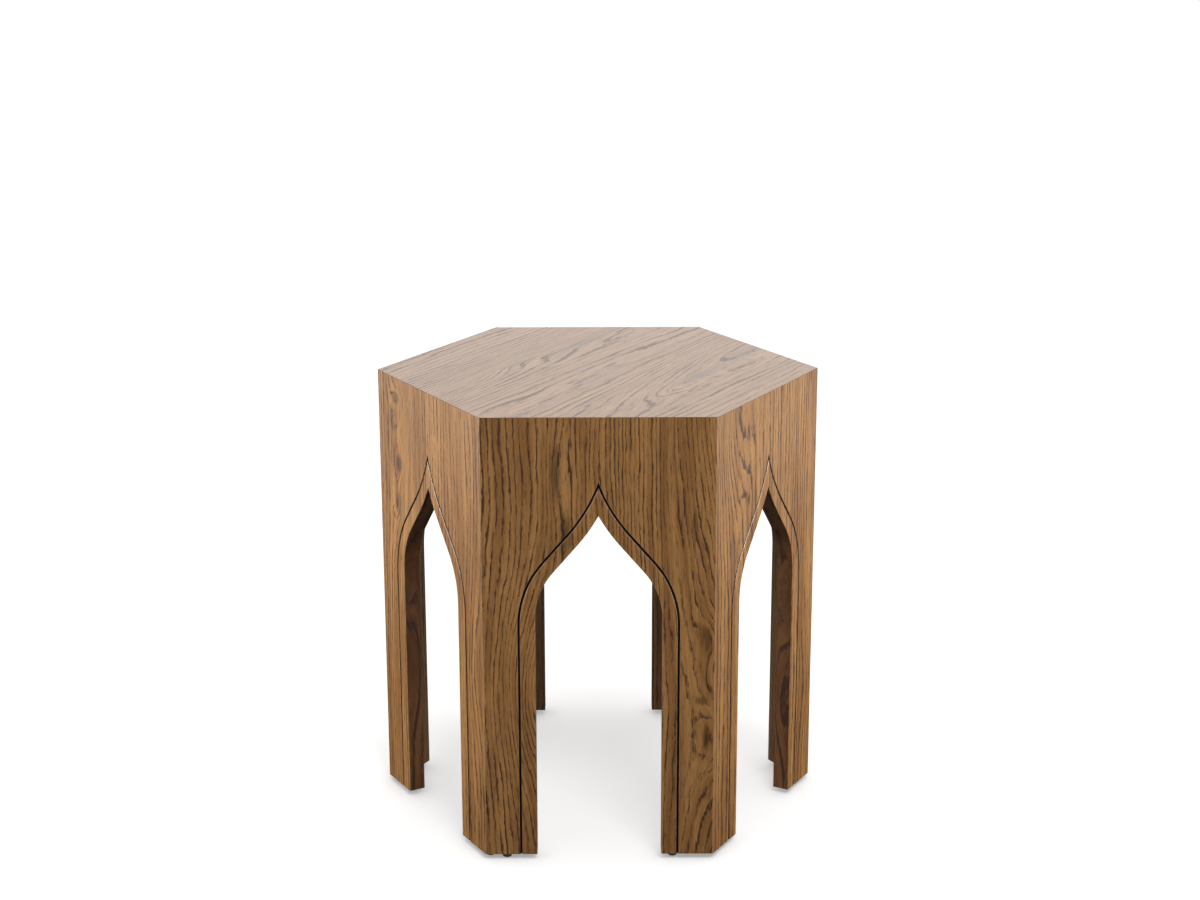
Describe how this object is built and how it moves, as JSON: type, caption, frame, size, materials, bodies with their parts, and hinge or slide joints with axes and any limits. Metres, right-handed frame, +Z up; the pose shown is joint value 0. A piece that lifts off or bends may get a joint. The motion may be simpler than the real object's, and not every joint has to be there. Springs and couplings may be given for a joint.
{
  "type": "tabouret table",
  "caption": "Low hexagonal tabouret in mitred oak veneer, its sides cut out in pointed ogee arches outlined by a dark groove, on V-shaped corner legs with nail-on glides.",
  "frame": {"origin": "centre of the hexagon on the floor, at the underside of the glides", "axes": "+Z up through the middle of the top; -Y out of the side that the picture shows from the front; X along that side, to the right as seen from outside"},
  "size_m": [0.5076, 0.44, 0.512],
  "materials": {
    "oak_top": "satin lacquer over open-pored oak veneer",
    "oak_side": "satin lacquer over stained, open-pored oak veneer",
    "oak_edge": "satin lacquer over stained oak edge veneer",
    "oak_backing": "thin satin lacquer over dark stained oak veneer",
    "core_board": "raw fibreboard, its cut edges stained dark",
    "birch_ply": "raw birch plywood",
    "softwood": "raw planed softwood",
    "screw_steel": "zinc plated",
    "glide_plastic": "matte grey-brown nylon",
    "nail_steel": "bright steel"
  },
  "bodies": {
    "root": {"top_core": "core_board", "top_face_veneer": "oak_top", "top_backing_veneer": "oak_backing", "side_core_1": "core_board", "side_face_veneer_1": "oak_side", "arch_border_1": "oak_side", "side_backing_veneer_1": "oak_backing", "arch_lining_1": "oak_edge", "top_cleat_1": "softwood", "mitre_spline_1": "birch_ply", "corner_block_1": "softwood", "side_core_2": "core_board", "side_face_veneer_2": "oak_side", "arch_border_2": "oak_side", "side_backing_veneer_2": "oak_backing", "arch_lining_2": "oak_edge", "top_cleat_2": "softwood", "mitre_spline_2": "birch_ply", "corner_block_2": "softwood", "side_core_3": "core_board", "side_face_veneer_3": "oak_side", "arch_border_3": "oak_side", "side_backing_veneer_3": "oak_backing", "arch_lining_3": "oak_edge", "top_cleat_3": "softwood", "mitre_spline_3": "birch_ply", "corner_block_3": "softwood", "side_core_4": "core_board", "side_face_veneer_4": "oak_side", "arch_border_4": "oak_side", "side_backing_veneer_4": "oak_backing", "arch_lining_4": "oak_edge", "top_cleat_4": "softwood", "mitre_spline_4": "birch_ply", "corner_block_4": "softwood", "side_core_5": "core_board", "side_face_veneer_5": "oak_side", "arch_border_5": "oak_side", "side_backing_veneer_5": "oak_backing", "arch_lining_5": "oak_edge", "top_cleat_5": "softwood", "mitre_spline_5": "birch_ply", "corner_block_5": "softwood", "side_core_6": "core_board", "side_face_veneer_6": "oak_side", "arch_border_6": "oak_side", "side_backing_veneer_6": "oak_backing", "arch_lining_6": "oak_edge", "top_cleat_6": "softwood", "mitre_spline_6": "birch_ply", "corner_block_6": "softwood", "cleat_side_screws": "screw_steel", "cleat_top_screws": "screw_steel", "glide_pads": "glide_plastic", "glide_nails": "nail_steel"}
  },
  "joints": []
}
